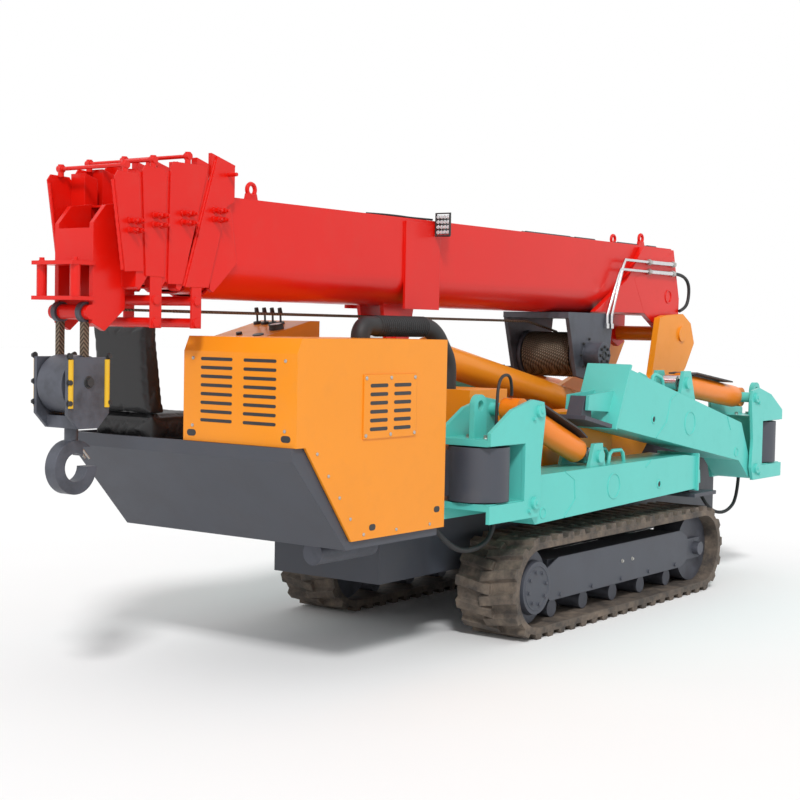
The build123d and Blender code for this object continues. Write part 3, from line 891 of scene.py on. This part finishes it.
def winch_pipes():
    """Unions on the boom's pipes, and the pipes that rise to them from the winch."""
    pipe_y = -0.228
    winch_y = -0.236
    pipe_heights = (2.010, 1.950)
    fittings = bmesh.new()
    for z in pipe_heights:
        for x, way in ((1.945, -1), (2.255, 1)):
            add_disc(fittings, (x, pipe_y, z), (way, 0, 0), 0.02, 0.03, 6)
    new_piece("pipe_fittings", fittings, "boom", "rod_steel", finishes["zinc"])

    pipes = bmesh.new()
    for x, z in zip((1.430, 1.375), pipe_heights):
        bend = x + 0.175
        points = (
            (x, winch_y, 1.600), (x, winch_y, 1.665), (bend - 0.03, -0.230, z - 0.04),
            (bend, pipe_y, z), (1.930, pipe_y, z))
        add_tube(pipes, points, 0.0095, 14)
        add_disc(pipes, (x, winch_y, 1.585), (0, 0, 1), 0.018, 0.03, 6)
    new_piece("winch_pipes", pipes, "boom", "rod_steel")


def hook_fittings():
    """Nuts and yellow straps on the block's cheeks, and the hook's latch."""
    cheek_y = 0.1
    nut_x = 0.104
    nuts = ((0, 1.324, 0.02), (-nut_x, 1.428, 0.011), (nut_x, 1.428, 0.011),
            (-nut_x, 1.242, 0.011), (nut_x, 1.242, 0.011), (-nut_x, 1.324, 0.011))
    cheeks = bmesh.new()
    for sign in both_sides:
        for x, z, size in nuts:
            add_bolt(cheeks, (hook_x + x, sign * cheek_y, z), (0, sign, 0), size, 0.014)
    new_piece("block_nuts", cheeks, "hook_block", "machined_grey", finishes["lamp_black"])

    pivot = (hook_x + 0.026, 1.072)
    tip = (hook_x + 0.086, 1.008)
    latch = bmesh.new()
    for y in (-0.012, 0.012):
        add_tube(latch, [(x, y, z) for x, z in (pivot, tip)], 0.005)
    add_disc(latch, (pivot[0], -0.02, pivot[1]), (0, 1, 0), 0.008, 0.04, 12)
    new_piece("hook_latch", latch, "hook", "machined_grey", finishes["zinc"])

    straps = bmesh.new()
    for sign in both_sides:
        for x in (hook_x - 0.096, hook_x + 0.096):
            add_tube(straps, ((x, sign * cheek_y, 1.222), (x, sign * cheek_y, 1.415)), 0.012, 12)
    yellow = gloss_paint("guard yellow", (0.72, 0.42, 0.02), 0.4, 0.2)
    new_piece("block_straps", straps, "hook_block", "cylinder_orange", yellow)


class CRANE_OT_dress_winch(bpy.types.Operator):
    """Add the winch's bolts, pipes and fittings, and the hook's latch, nuts and straps"""

    bl_idname = "crane.dress_winch"
    bl_label = "Dress the winch and hook"

    def execute(self, context):
        winch_bolts()
        winch_pipes()
        hook_fittings()
        return {"FINISHED"}


def beam_lines(end, side, sign):
    """Raised seams and rings on the beam's outer face, and its plug."""
    bends = {
        "rear": (
            ((0.16, 1.0), (0.215, 0.8), (0.215, 0.36), (0.15, 0.02)), ((0.74, 1.0), (0.69, 0.83))),
        "front": (
            ((0.60, 1.0), (0.645, 0.8), (0.645, 0.36), (0.70, 0.02)), ((0.14, 0.98), (0.10, 0.7))),
    }
    hole = {"rear": (0.765, 0.33), "front": (0.745, 0.33)}[end]
    facing = (0, sign, 0)
    beam = f"beam_{end}_{side}"
    lines = bmesh.new()
    for bend in bends[end]:
        add_tube(lines, [on_beam(end, side, along, up) for along, up in bend], 0.0045)
    add_ring(lines, on_beam(end, side, 0.46, 0.5), facing, 0.068, 0.005)
    add_ring(lines, on_beam(end, side, 0.03, 0.2), facing, 0.026, 0.005)
    add_ring(lines, on_beam(end, side, *hole), facing, 0.021, 0.006)
    new_piece(f"beam_lines_{end}_{side}", lines, beam, "outrigger_teal")

    plug_hole = bmesh.new()
    add_disc(plug_hole, on_beam(end, side, *hole, beam_face - 0.0003), facing, 0.017, 0.002)
    add_bolt(plug_hole, on_beam(end, side, *hole, beam_face + 0.001), facing, 0.007, 0.005)
    new_piece(f"beam_plugs_{end}_{side}", plug_hole, beam, "lamp_black")


def pin_caps(end, side, sign):
    """Caps, nuts and keeper bolts on the bracket's two pins."""
    pin_end = 0.161
    caps = bmesh.new()
    for out, height in ((0.310, 1.165), (0.280, 0.712)):
        for across, facing in ((pin_end, (0, sign, 0)), (-pin_end, (0, -sign, 0))):
            add_disc(caps, at_outrigger(end, side, out, height, across), facing, 0.031, 0.006, 24)
            add_bolt(caps, at_outrigger(end, side, out, height, across * 1.03), facing, 0.011, 0.006)
            keeper = at_outrigger(end, side, out - 0.05, height - 0.036, across * 0.93)
            add_bolt(caps, keeper, facing, 0.010, 0.012)
    new_piece(f"pin_caps_{end}_{side}", caps, f"bracket_{end}_{side}", "outrigger_teal")


def trim_and_guard(end, side, sign):
    """End plate and handles on the beam, and the plate over its cylinder."""
    middle_y = sign * post_y
    plate_half = 0.136
    guard_half = 0.075
    trim = bmesh.new()
    outline = outrigger_outline(end, end_plates[end])
    add_plate(trim, outline, middle_y - plate_half, middle_y + plate_half)
    for across in (-0.05, 0.05):
        add_tube(trim, [at_outrigger(end, side, *place, across) for place in handles[end]], 0.011)
    new_piece(f"beam_trim_{end}_{side}", trim, f"beam_{end}_{side}", "outrigger_teal")

    guard = bmesh.new()
    outline = outrigger_outline(end, cylinder_guards[end])
    add_plate(guard, outline, middle_y - guard_half, middle_y + guard_half)
    barrel = f"barrel_{end}_{side}"
    new_piece(f"cylinder_guard_{end}_{side}", guard, barrel, "dark_grey", finishes["lamp_black"])


def arm_bolts(end, side):
    """Bolts on the bracket's upper arm."""
    arm_top = 1.040
    bolts = bmesh.new()
    for out, across in ((-0.02, 0.05), (0.07, 0.085), (-0.02, -0.05), (0.07, -0.085)):
        add_bolt(bolts, at_outrigger(end, side, out, arm_top, across), (0, 0, 1), 0.012, 0.016)
    new_piece(f"arm_bolts_{end}_{side}", bolts, f"bracket_{end}_{side}", "rod_steel", finishes["zinc"])


class CRANE_OT_dress_outriggers(bpy.types.Operator):
    """Add the beams' lines, plugs and trim, the pins' caps, the cylinders' guards and the bolts"""

    bl_idname = "crane.dress_outriggers"
    bl_label = "Dress the outriggers"

    def execute(self, context):
        for end in post_x:
            for side, sign in outrigger_side.items():
                beam_lines(end, side, sign)
                pin_caps(end, side, sign)
                trim_and_guard(end, side, sign)
                arm_bolts(end, side)
        return {"FINISHED"}


def hood_screws(panel_y, hood_low):
    """Screws round the vent panel, along the skirt's edges and on the rear face."""
    size = 0.008
    skirt_top = (-1.965, 1.080)
    skirt_run = (0.31, -0.39)
    screws = bmesh.new()
    for x in (-1.605, -1.425, -1.245):
        for z in (1.345, 1.095):
            add_screw(screws, (x, panel_y, z), (0, -1, 0), 0.009)
    for share in (0.12, 0.37, 0.62, 0.87):
        x, z = (start + share * run for start, run in zip(skirt_top, skirt_run))
        add_screw(screws, (x, hood_low[1], z), (0, -1, 0), size)
    for x in (-1.60, -1.36, -1.10):
        add_screw(screws, (x, hood_low[1], 0.665), (0, -1, 0), size)
    for y in (-0.62, -0.1):
        for z in (1.42, 1.13):
            add_screw(screws, (hood_low[0], y, z), (-1, 0, 0), size)
    new_piece("hood_screws", screws, "chassis", "rod_steel", finishes["zinc"])


def hood_louvre_shade(panel_y, hood_low):
    """Painted shade of the louvre openings, as dark slots: two banks on the vent panel and two on the rear
    face, with wider slots below.
    """
    along_x, outwards = (1, 0, 0), (0, -1, 0)
    along_y, backwards = (0, 1, 0), (-1, 0, 0)
    panel_top, panel_pitch = 1.312, 0.038
    rear_top, rear_pitch = 1.418, 0.0375
    slot_shade = bmesh.new()
    for row in range(6):
        for x in (-1.512, -1.338):
            place = (x, panel_y, panel_top - panel_pitch * row)
            add_shade_slot(slot_shade, place, along_x, outwards, 0.128, 0.016)
    for row in range(8):
        for y in (-0.236, -0.480):
            place = (hood_low[0], y, rear_top - rear_pitch * row)
            add_shade_slot(slot_shade, place, along_y, backwards, 0.181, 0.014)
    for y in (-0.094, -0.626):
        add_shade_slot(slot_shade, (hood_low[0], y, 1.098), along_y, backwards, 0.052, 0.028)
    for x, z in ((-1.538, 0.691), (-1.045, 0.729)):
        add_shade_slot(slot_shade, (x, hood_low[1], z), along_x, outwards, 0.046, 0.028)
    # The black slots are painted shade where the hood's louvre openings show dark.
    new_piece("hood_louvre_shade", slot_shade, "chassis", "lamp_black")


def intake_ribs():
    """Rings along the intake duct's level run."""
    first_x, duct_y, duct_z = -1.03, -0.3, 1.572
    count, pitch = 24, 0.0165
    ribs = bmesh.new()
    for step in range(count):
        add_ring(ribs, (first_x + pitch * step, duct_y, duct_z), (1, 0, 0), 0.0455, 0.006)
    new_piece("intake_ribs", ribs, "chassis", "hose_rubber")


def on_console(x, y):
    """Place on the console's sloping top."""
    edge_x, edge_z, slope = -1.50, 1.50, 0.237
    return Vector((x, y, edge_z + (x - edge_x) * slope))


def console_controls():
    """Gauge, four levers, a flat disc and a six-sided knob."""
    tilt = Vector((-0.23, 0, 0.97)).normalized()
    gauge_place = on_console(-1.30, 0.09)
    gauge_height = 0.024
    lean = -0.004
    controls = bmesh.new()
    add_disc(controls, gauge_place, tilt, 0.036, gauge_height, 28)
    add_ring(controls, gauge_place + tilt * gauge_height, tilt, 0.033, 0.004)
    for y in (0.15, 0.20, 0.25, 0.30):
        base = on_console(-1.20, y)
        add_disc(controls, base, tilt, 0.02, 0.012, 18)
        add_tube(controls, (base, base + Vector((lean, 0, 0.055))), 0.005)
        add_disc(controls, base + Vector((lean, 0, 0.05)), tilt, 0.012, 0.03, 16, 0.8)
    add_disc(controls, on_console(-1.42, 0.10), tilt, 0.028, 0.004, 24)
    add_disc(controls, on_console(-1.42, 0.22), tilt, 0.016, 0.012, 6)
    new_piece("console_controls", controls, "chassis", "lamp_black")

    dial = bmesh.new()
    add_disc(dial, gauge_place + tilt * (gauge_height - 0.0005), tilt, 0.03, 0.002, 28)
    paint = gloss_paint("gauge dial", (0.8, 0.8, 0.78), 0.3)
    new_piece("gauge_dial", dial, "chassis", "rod_steel", paint)


def track_cover(side, sign):
    """Side cover of the track's frame, with the final drive's cap and their bolts."""
    cover_inner = 0.6915
    cover_outer = 0.7
    cap_height = 0.034
    drive = (track_middle_x - track_half, track_middle_z)
    outline = (
        (-0.02, 0.165), (1.53, 0.165), (1.60, 0.205), (1.60, 0.335), (1.51, 0.385), (0.06, 0.385),
        (-0.06, 0.335), (-0.06, 0.205))
    facing = (0, sign, 0)
    face_y = sign * cover_outer
    cap_y = sign * (cover_outer + cap_height)
    cover = bmesh.new()
    add_plate(cover, outline, *sorted((sign * cover_inner, face_y)))
    for x in (0.08, 0.42, 0.755, 1.09, 1.43):
        add_bolt(cover, (x, face_y, 0.190), facing, 0.011, 0.010)
    for x, z in circle(drive, 0.085, 8, 0.2):
        add_bolt(cover, (x, cap_y, z), facing, 0.009, 0.010)
    add_disc(cover, (drive[0], face_y, drive[1]), facing, 0.142, cap_height, 40)
    add_ring(cover, (drive[0], cap_y, drive[1]), facing, 0.112, 0.004)
    new_piece(f"track_cover_{side}", cover, "chassis", "dark_grey")

    bright = bmesh.new()
    for x in (0.77, 0.89):
        add_bolt(bright, (x, face_y, 0.285), facing, 0.009, 0.008)
    new_piece(f"track_plate_bolts_{side}", bright, "chassis", "rod_steel", finishes["zinc"])


class CRANE_OT_dress_hood(bpy.types.Operator):
    """Add the hood's screws and the painted shade of its louvre openings, the duct's ribs, the console's
    controls and the track covers
    """

    bl_idname = "crane.dress_hood"
    bl_label = "Dress the hood, console and tracks"

    def execute(self, context):
        panel_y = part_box("hood_side_panel")[0][1]
        hood_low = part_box("engine_hood")[0]
        hood_screws(panel_y, hood_low)
        hood_louvre_shade(panel_y, hood_low)
        intake_ribs()
        console_controls()
        for side, sign in outrigger_side.items():
            track_cover(side, sign)
        return {"FINISHED"}


def add_belt(builder, middle_y):
    """Smooth belt under the lugs."""
    segments = 168
    near, far = middle_y - track_half_width, middle_y + track_half_width
    section = ((belt_inside, near), (belt_inside, far), (belt_outside, far), (belt_outside, near))
    rows = []
    for step in range(segments):
        row = []
        for radius, y in section:
            x, z = on_track(track_loop * step / segments, radius)
            row.append(builder.verts.new((x, y, z)))
        rows.append(row)
    for row, other in zip(rows, rows[1:] + rows[:1]):
        bridge(builder, row, other)


def add_lug(builder, middle_y, way, start):
    """Bent, tapered bar from the belt's edge to just past its middle."""
    foot = (belt_outside - 0.002, 0.033)
    top = (lug_tip, 0.021)
    stations = ((0.174, 0.0), (0.09, 0.012), (-0.03, 0.034))
    corners = []
    for radius, half_width in (foot, top):
        for reach_y, lead in stations:
            for edge in (-half_width, half_width):
                x, z = on_track((start + lead + edge) % track_loop, radius)
                corners.append(builder.verts.new((x, middle_y + way * reach_y, z)))
    low, high = corners[:6], corners[6:]
    builder.faces.new((high[0], high[1], high[3], high[2]))
    builder.faces.new((high[2], high[3], high[5], high[4]))
    rim = (0, 1, 3, 5, 4, 2)
    bridge(builder, [low[corner] for corner in rim], [high[corner] for corner in rim])


class CRANE_OT_tread_tracks(bpy.types.Operator):
    """Make the rubber belts with their staggered lugs"""

    bl_idname = "crane.tread_tracks"
    bl_label = "Tread the tracks"

    def execute(self, context):
        lugs = 92
        for side, sign in outrigger_side.items():
            belt = bmesh.new()
            add_belt(belt, sign * track_y)
            for index in range(lugs):
                way = 1 if index % 2 else -1
                add_lug(belt, sign * track_y, way, track_loop * index / lugs)
            piece = new_piece(f"tread_{side}", belt, "chassis", "track_rubber")
            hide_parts(f"track_{side}")
        return {"FINISHED"}


def puff_up(context, piece):
    """Blow the piece up as cloth, with no part moved further than a set distance."""
    voxel = 0.006
    most_move = 0.012
    pressure = 4.0
    frames = 20
    scene = context.scene
    remesh = piece.modifiers.new("grid", "REMESH")
    remesh.mode = "VOXEL"
    remesh.voxel_size = voxel
    apply_modifiers(context, piece)
    flat = [vert.co.copy() for vert in piece.data.vertices]
    cloth = piece.modifiers.new("cloth", "CLOTH").settings
    cloth.use_pressure = True
    cloth.uniform_pressure_force = pressure
    cloth.effector_weights.gravity = 0.0
    for number in range(1, frames + 1):
        scene.frame_set(number)
    apply_modifiers(context, piece)
    for vert, home in zip(piece.data.vertices, flat):
        move = vert.co - home
        if move.length > most_move:
            vert.co = home + move.normalized() * most_move
    scene.frame_set(1)
    piece.modifiers.new("smooth", "SUBSURF").levels = 1
    apply_modifiers(context, piece)
    piece.data.shade_smooth()


def apply_modifiers(context, piece):
    """Make what the modifiers give the piece's own mesh."""
    seen = piece.evaluated_get(context.evaluated_depsgraph_get())
    mesh = bpy.data.meshes.new_from_object(seen)
    piece.modifiers.clear()
    piece.data = mesh


class CRANE_OT_pad_seat(bpy.types.Operator):
    """Puff the seat's cushion and back up by a short cloth simulation"""

    bl_idname = "crane.pad_seat"
    bl_label = "Pad the seat"

    def execute(self, context):
        start_size = 0.965
        for node in ("seat_cushion", "seat_back"):
            mesh = nodes[node].data.copy()
            piece = bpy.data.objects.new(f"padded_{node}", mesh)
            context.scene.collection.objects.link(piece)
            piece.matrix_world = nodes[node].matrix_world.copy()
            middle = sum((vert.co for vert in mesh.vertices), Vector()) / len(mesh.vertices)
            mesh.transform(
                Matrix.Translation(middle) @ Matrix.Scale(start_size, 4) @ Matrix.Translation(-middle))
            puff_up(context, piece)
            piece.data.materials.clear()
            piece.data.materials.append(finishes["seat_vinyl"])
            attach(piece, "chassis")
            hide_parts(node)
        return {"FINISHED"}


# Hoses on both sides: diameter, lay and places on the left side
hose_pairs = {
    "rear_loop_hose": (0.026, "hanging", (
        (-1.016, 0.56, 0.670), (-0.93, 0.56, 0.665), (-0.84, 0.575, 0.56), (-0.72, 0.60, 0.485),
        (-0.57, 0.615, 0.49), (-0.455, 0.62, 0.55), (-0.43, 0.62, 0.70))),
    "front_loop_hose": (0.022, "hanging", (
        (2.30, 0.330, 0.560), (2.30, 0.43, 0.56), (2.30, 0.52, 0.42), (2.42, 0.58, 0.40),
        (2.56, 0.60, 0.50), (2.56, 0.60, 0.757))),
    "rear_port_hose": (0.016, "loose", (
        (-0.575, 0.70, 1.040), (-0.575, 0.70, 1.20), (-0.54, 0.69, 1.33), (-0.44, 0.68, 1.35),
        (-0.39, 0.67, 1.30), (-0.375, 0.66, 1.238))),
}
foot_route = (
    (2.285, -0.228, 1.950), (2.40, -0.228, 1.950), (2.50, -0.232, 1.90), (2.51, -0.230, 1.80),
    (2.47, -0.227, 1.73), (2.385, -0.225, 1.71))
lamp_route = (
    (-0.395, -0.17, 2.122), (-0.45, -0.165, 2.122), (-0.56, -0.155, 2.121), (-0.70, -0.172, 2.121),
    (-0.82, -0.16, 2.121), (-0.90, -0.13, 2.121))


def lay_hose(context, name, body, diameter, points):
    """Round hose along a smooth curve that the points guide."""
    curve = bpy.data.curves.new(name, "CURVE")
    curve.dimensions = "3D"
    spline = curve.splines.new("NURBS")
    spline.points.add(len(points) - 1)
    for point, place in zip(spline.points, points):
        point.co = (*place, 1.0)
    spline.order_u = 3
    spline.use_endpoint_u = True
    spline.resolution_u = 10
    curve.bevel_depth = diameter / 2
    curve.bevel_resolution = 3
    curve.use_fill_caps = True
    curve.materials.append(finishes["hose_rubber"])
    hose = bpy.data.objects.new(name, curve)
    context.scene.collection.objects.link(hose)
    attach(hose, body)


class CRANE_OT_run_hoses(bpy.types.Operator):
    """Run the hydraulic hoses and the lamp's cable"""

    bl_idname = "crane.run_hoses"
    bl_label = "Run the hoses"

    def execute(self, context):
        for side, sign in outrigger_side.items():
            for name, (diameter, lay, places) in hose_pairs.items():
                body = f"bracket_rear_{side}" if name == "rear_port_hose" else "chassis"
                points = [(x, sign * y, z) for x, y, z in places]
                lay_hose(context, f"{name}_{side}", body, diameter, points)
        lay_hose(context, "foot_hose", "boom", 0.022, foot_route)
        lay_hose(context, "lamp_cable", "boom", 0.010, lamp_route)
        return {"FINISHED"}


class CRANE_OT_set_stage(bpy.types.Operator):
    """Set up the pale floor, the soft light and the camera"""

    bl_idname = "crane.set_stage"
    bl_label = "Set the stage"

    def execute(self, context):
        stage = crane_stage()
        scene = context.scene
        scene.view_settings.view_transform = "Standard"

        half = stage.floor_size / 2
        mesh = bpy.data.meshes.new("floor")
        corners = [(-half, -half, 0), (half, -half, 0), (half, half, 0), (-half, half, 0)]
        mesh.from_pydata(corners, [], [(0, 1, 2, 3)])
        floor = bpy.data.objects.new("floor", mesh)
        scene.collection.objects.link(floor)
        pale = Finish("pale floor", roughness=0.9, specular_ior_level=0.1)
        tone = pale.mix(pale.noise(0.6), (0.9, 0.9, 0.9, 1), (0.93, 0.93, 0.93, 1))
        mesh.materials.append(pale.feed(base_color=tone))

        world = bpy.data.worlds.new("studio")
        world.use_nodes = True
        tree = world.node_tree
        background = tree.nodes["Background"]
        background.inputs["Color"].default_value = (1.0, 1.0, 1.0, 1.0)
        path = tree.nodes.new("ShaderNodeLightPath")
        seen = Signal(tree, path.outputs["Is Camera Ray"])
        for ray in ("Is Glossy Ray", "Is Transmission Ray"):
            seen = seen + Signal(tree, path.outputs[ray])
        lit = seen * (1.0 - stage.sky_strength) + stage.sky_strength
        plug(tree, background.inputs["Strength"], lit)
        scene.world = world

        sun = bpy.data.lights.new("key", "SUN")
        sun.energy = stage.key_strength
        sun.angle = math.radians(9.0)
        key = bpy.data.objects.new("key", sun)
        towards = Vector((0.62, 0.52, -0.72))
        key.rotation_euler = towards.to_track_quat("-Z", "Y").to_euler()
        scene.collection.objects.link(key)

        heading = stage.camera_heading
        pitch = stage.camera_pitch
        back = Vector((
            math.sin(heading) * math.cos(pitch),
            -math.cos(heading) * math.cos(pitch),
            math.sin(pitch),
        ))
        right = Vector((math.cos(heading), math.sin(heading), 0.0))
        up = back.cross(right)
        lens = bpy.data.cameras.new("camera")
        lens.sensor_width = 36.0
        lens.sensor_fit = "HORIZONTAL"
        lens.lens = stage.focal_length
        lens.clip_end = 400.0
        camera = bpy.data.objects.new("camera", lens)
        turn = Matrix((right, up, back)).transposed() @ Matrix.Rotation(stage.camera_roll, 3, "Z")
        camera.matrix_world = Matrix.Translation(stage.camera_place) @ turn.to_4x4()
        scene.collection.objects.link(camera)
        scene.camera = camera
        return {"FINISHED"}


class CRANE_PT_looks(bpy.types.Panel):
    """Buttons that dress the crane"""

    bl_label = "Crane"
    bl_space_type = "VIEW_3D"
    bl_region_type = "UI"
    bl_category = "Crane"

    def draw(self, context):
        for operator in operators:
            self.layout.operator(operator.bl_idname)
        for group in (crane_colours(), crane_stage()):
            for name in group.bl_rna.properties.keys():
                if name not in ("rna_type", "name"):
                    self.layout.prop(group, name)


operators = (
    CRANE_OT_paint_frame,
    CRANE_OT_reeve_rope,
    CRANE_OT_dress_boom,
    CRANE_OT_dress_winch,
    CRANE_OT_dress_outriggers,
    CRANE_OT_dress_hood,
    CRANE_OT_tread_tracks,
    CRANE_OT_pad_seat,
    CRANE_OT_run_hoses,
    CRANE_OT_set_stage,
)
classes = (CraneColours, CraneStage, *operators, CRANE_PT_looks)


def register():
    for cls in classes:
        bpy.utils.register_class(cls)
    bpy.types.Scene.crane_colours = PointerProperty(type=CraneColours)
    bpy.types.Scene.crane_stage = PointerProperty(type=CraneStage)


def unregister():
    del bpy.types.Scene.crane_stage
    del bpy.types.Scene.crane_colours
    for cls in reversed(classes):
        bpy.utils.unregister_class(cls)


def main():
    """Dress the crane."""
    register()
    bpy.ops.crane.paint_frame()
    bpy.ops.crane.reeve_rope()
    bpy.ops.crane.dress_boom()
    bpy.ops.crane.dress_winch()
    bpy.ops.crane.dress_outriggers()
    bpy.ops.crane.dress_hood()
    bpy.ops.crane.tread_tracks()
    bpy.ops.crane.pad_seat()
    bpy.ops.crane.run_hoses()
    bpy.ops.crane.set_stage()


if __name__ == "__main__":
    main()
